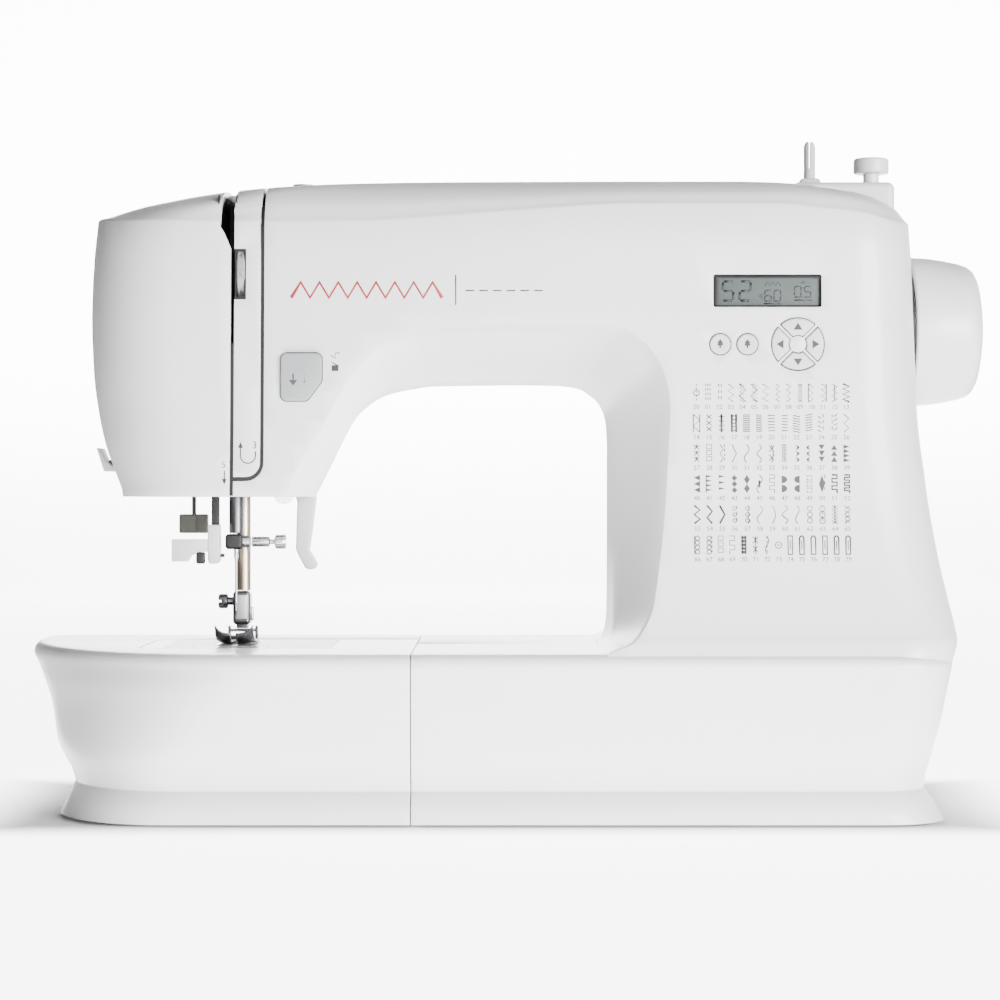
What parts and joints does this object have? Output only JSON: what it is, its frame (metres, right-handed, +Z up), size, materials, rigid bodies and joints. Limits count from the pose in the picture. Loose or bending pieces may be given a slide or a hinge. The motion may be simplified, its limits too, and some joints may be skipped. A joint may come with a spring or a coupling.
{
  "type": "computerised home sewing machine",
  "caption": "Free-arm home sewing machine: white covers, stitch chart, display and buttons, drive train, needle and presser mechanism, slide-off table.",
  "frame": {"origin": "middle of the machine's width and depth, on the surface its feet stand on", "axes": "+X to the user's right along the machine, +Y away from the user, +Z up"},
  "size_m": [0.417, 0.17, 0.2887],
  "materials": {
    "white_plastic": "smooth moulded plastic with a soft sheen",
    "grey_plastic": "fine matt moulding",
    "black_plastic": "fine matt moulding",
    "rubber": "matt rubber",
    "cast_metal": "die cast, unpolished",
    "bright_steel": "polished plating",
    "nylon": "natural nylon",
    "clear_plastic": "clear moulded plastic",
    "display": "reflective liquid crystal window",
    "circuit_board": "lacquered board"
  },
  "bodies": {
    "machine": {"front_cover": "white_plastic", "rear_cover": "white_plastic", "face_cover": "white_plastic", "thread_channel_cover": "white_plastic", "base_pan": "grey_plastic", "rubber_foot_front_left": "rubber", "rubber_foot_front_right": "rubber", "rubber_foot_rear_left": "rubber", "rubber_foot_rear_right": "rubber", "machine_frame": "cast_metal", "free_arm_cover": "white_plastic", "needle_plate": "bright_steel", "control_board": "circuit_board", "lcd_display": "display", "drive_motor": "cast_metal", "motor_belt": "rubber", "timing_belt": "rubber", "bobbin_thread_guide": "black_plastic", "thread_cutter": "grey_plastic", "work_lamp": "clear_plastic", "power_socket": "black_plastic", "winder_stop": "white_plastic", "bobbin_case": "black_plastic"},
    "upper_shaft": {"main_shaft": "bright_steel", "crank_disc": "bright_steel", "shaft_pulley": "black_plastic", "handwheel": "white_plastic"},
    "lower_shaft": {"lower_shaft": "bright_steel", "hook_drive_gear": "nylon"},
    "hook": {"rotary_hook": "bright_steel"},
    "bobbin": {"bobbin": "clear_plastic"},
    "motor_rotor": {"motor_pulley": "black_plastic"},
    "needle_carrier": {"needle_bar": "bright_steel", "needle_bar_link": "bright_steel", "needle_clamp": "bright_steel", "needle": "bright_steel"},
    "needle_screw": {"needle_clamp_screw": "bright_steel"},
    "take_up": {"take_up_lever": "bright_steel"},
    "presser": {"presser_bar": "bright_steel", "foot_holder": "bright_steel"},
    "foot_screw": {"foot_holder_screw": "bright_steel"},
    "foot": {"presser_foot": "bright_steel"},
    "lifter": {"foot_lifter": "grey_plastic"},
    "threader": {"needle_threader": "grey_plastic"},
    "buttonhole": {"buttonhole_lever": "black_plastic"},
    "dial": {"tension_dial": "grey_plastic"},
    "reverse": {"reverse_button": "grey_plastic"},
    "tens": {"stitch_button_tens": "grey_plastic"},
    "units": {"stitch_button_units": "grey_plastic"},
    "arrow_up": {"arrow_button_up": "grey_plastic"},
    "arrow_down": {"arrow_button_down": "grey_plastic"},
    "arrow_left": {"arrow_button_left": "grey_plastic"},
    "arrow_right": {"arrow_button_right": "grey_plastic"},
    "winder": {"winder_spindle": "bright_steel"},
    "spool": {"spool_pin": "white_plastic"},
    "hook_cover": {"bobbin_cover": "clear_plastic"},
    "feed": {"feed_dog": "bright_steel"},
    "drop_feed": {"drop_feed_lever": "black_plastic"},
    "rocker": {"power_switch": "black_plastic"},
    "table": {"extension_table": "white_plastic"}
  },
  "joints": [
    {"name": "handwheel_turn", "type": "hinge", "parent": "machine", "child": "upper_shaft", "pos_m": [0.19, 0, 0.204], "axis": [1, 0, 0], "continuous": true},
    {"name": "lower_shaft_turn", "type": "hinge", "parent": "machine", "child": "lower_shaft", "pos_m": [0.1, 0, 0.038], "axis": [1, 0, 0], "continuous": true},
    {"name": "hook_turn", "type": "hinge", "parent": "machine", "child": "hook", "pos_m": [-0.1125, -0.0185, 0.04], "axis": [0, 0, 1], "continuous": true},
    {"name": "motor_turn", "type": "hinge", "parent": "machine", "child": "motor_rotor", "pos_m": [0.15, 0.042, 0.062], "axis": [1, 0, 0], "continuous": true},
    {"name": "bobbin_turn", "type": "hinge", "parent": "machine", "child": "bobbin", "pos_m": [-0.1125, -0.0185, 0.06], "axis": [0, 0, 1], "continuous": true},
    {"name": "needle_stroke", "type": "slide", "parent": "machine", "child": "needle_carrier", "axis": [0, 0, -1], "range_m": [0, 0.028]},
    {"name": "needle_screw_turn", "type": "hinge", "parent": "needle_carrier", "child": "needle_screw", "pos_m": [-0.1, 0, 0.1136], "axis": [1, 0, 0], "range_deg": [-180, 180]},
    {"name": "take_up_swing", "type": "hinge", "parent": "machine", "child": "take_up", "pos_m": [-0.108, -0.022, 0.222], "axis": [1, 0, 0], "range_deg": [0, 60]},
    {"name": "foot_lift", "type": "hinge", "parent": "machine", "child": "lifter", "pos_m": [-0.097, 0.0295, 0.147], "axis": [0, -1, 0], "range_deg": [0, 60]},
    {"name": "presser_rise", "type": "slide", "parent": "machine", "child": "presser", "axis": [0, 0, 1], "range_m": [0, 0.006]},
    {"name": "foot_tilt", "type": "hinge", "parent": "presser", "child": "foot", "pos_m": [-0.1105, 0.0155, 0.0752], "axis": [-1, 0, 0], "range_deg": [0, 8]},
    {"name": "foot_screw_turn", "type": "hinge", "parent": "presser", "child": "foot_screw", "pos_m": [-0.118, 0.0135, 0.0875], "axis": [1, 0, 0], "range_deg": [-180, 180]},
    {"name": "threader_pull", "type": "slide", "parent": "machine", "child": "threader", "axis": [0, 0, -1], "range_m": [0, 0.02]},
    {"name": "buttonhole_pull", "type": "slide", "parent": "machine", "child": "buttonhole", "axis": [0, 0, -1], "range_m": [0, 0.025]},
    {"name": "tension_turn", "type": "hinge", "parent": "machine", "child": "dial", "pos_m": [-0.1038, -0.0485, 0.2254], "axis": [1, 0, 0], "range_deg": [-120, 120]},
    {"name": "reverse_press", "type": "slide", "parent": "machine", "child": "reverse", "axis": [0, 1, 0], "range_m": [0, 0.002], "stiffness_N_per_m": 600, "springref_m": -0.0005},
    {"name": "tens_press", "type": "slide", "parent": "machine", "child": "tens", "axis": [0, 1, 0], "range_m": [0, 0.001], "stiffness_N_per_m": 600, "springref_m": -0.0005},
    {"name": "units_press", "type": "slide", "parent": "machine", "child": "units", "axis": [0, 1, 0], "range_m": [0, 0.001], "stiffness_N_per_m": 600, "springref_m": -0.0005},
    {"name": "arrow_up_press", "type": "slide", "parent": "machine", "child": "arrow_up", "axis": [0, 1, 0], "range_m": [0, 0.001], "stiffness_N_per_m": 600, "springref_m": -0.0005},
    {"name": "arrow_down_press", "type": "slide", "parent": "machine", "child": "arrow_down", "axis": [0, 1, 0], "range_m": [0, 0.001], "stiffness_N_per_m": 600, "springref_m": -0.0005},
    {"name": "arrow_left_press", "type": "slide", "parent": "machine", "child": "arrow_left", "axis": [0, 1, 0], "range_m": [0, 0.001], "stiffness_N_per_m": 600, "springref_m": -0.0005},
    {"name": "arrow_right_press", "type": "slide", "parent": "machine", "child": "arrow_right", "axis": [0, 1, 0], "range_m": [0, 0.001], "stiffness_N_per_m": 600, "springref_m": -0.0005},
    {"name": "winder_shift", "type": "slide", "parent": "machine", "child": "winder", "axis": [1, 0, 0], "range_m": [0, 0.006]},
    {"name": "spool_pin_raise", "type": "hinge", "parent": "machine", "child": "spool", "pos_m": [0.09, 0.022, 0.256], "axis": [0, 1, 0], "range_deg": [0, 90]},
    {"name": "hook_cover_lift", "type": "slide", "parent": "machine", "child": "hook_cover", "axis": [0, 0, 1], "range_m": [0, 0.025]},
    {"name": "drop_feed_shift", "type": "slide", "parent": "machine", "child": "drop_feed", "axis": [1, 0, 0], "range_m": [0, 0.015]},
    {"name": "feed_drop", "type": "slide", "parent": "machine", "child": "feed", "axis": [0, 0, -1], "range_m": [0, 0.0025]},
    {"name": "power_rock", "type": "hinge", "parent": "machine", "child": "rocker", "pos_m": [0.1715, 0.034, 0.037], "axis": [0, 1, 0], "range_deg": [-8, 8]},
    {"name": "table_slide", "type": "slide", "parent": "machine", "child": "table", "axis": [-1, 0, 0], "range_m": [0, 0.15]}
  ],
  "couplings": [
    {"joint": "lower_shaft_turn", "follows": "handwheel_turn", "ratio": 1},
    {"joint": "hook_turn", "follows": "handwheel_turn", "ratio": 2},
    {"joint": "motor_turn", "follows": "handwheel_turn", "ratio": 5},
    {"joint": "foot_lift", "follows": "presser_rise", "rad_per_m": 174.5},
    {"joint": "feed_drop", "follows": "drop_feed_shift", "ratio": 0.1666}
  ]
}
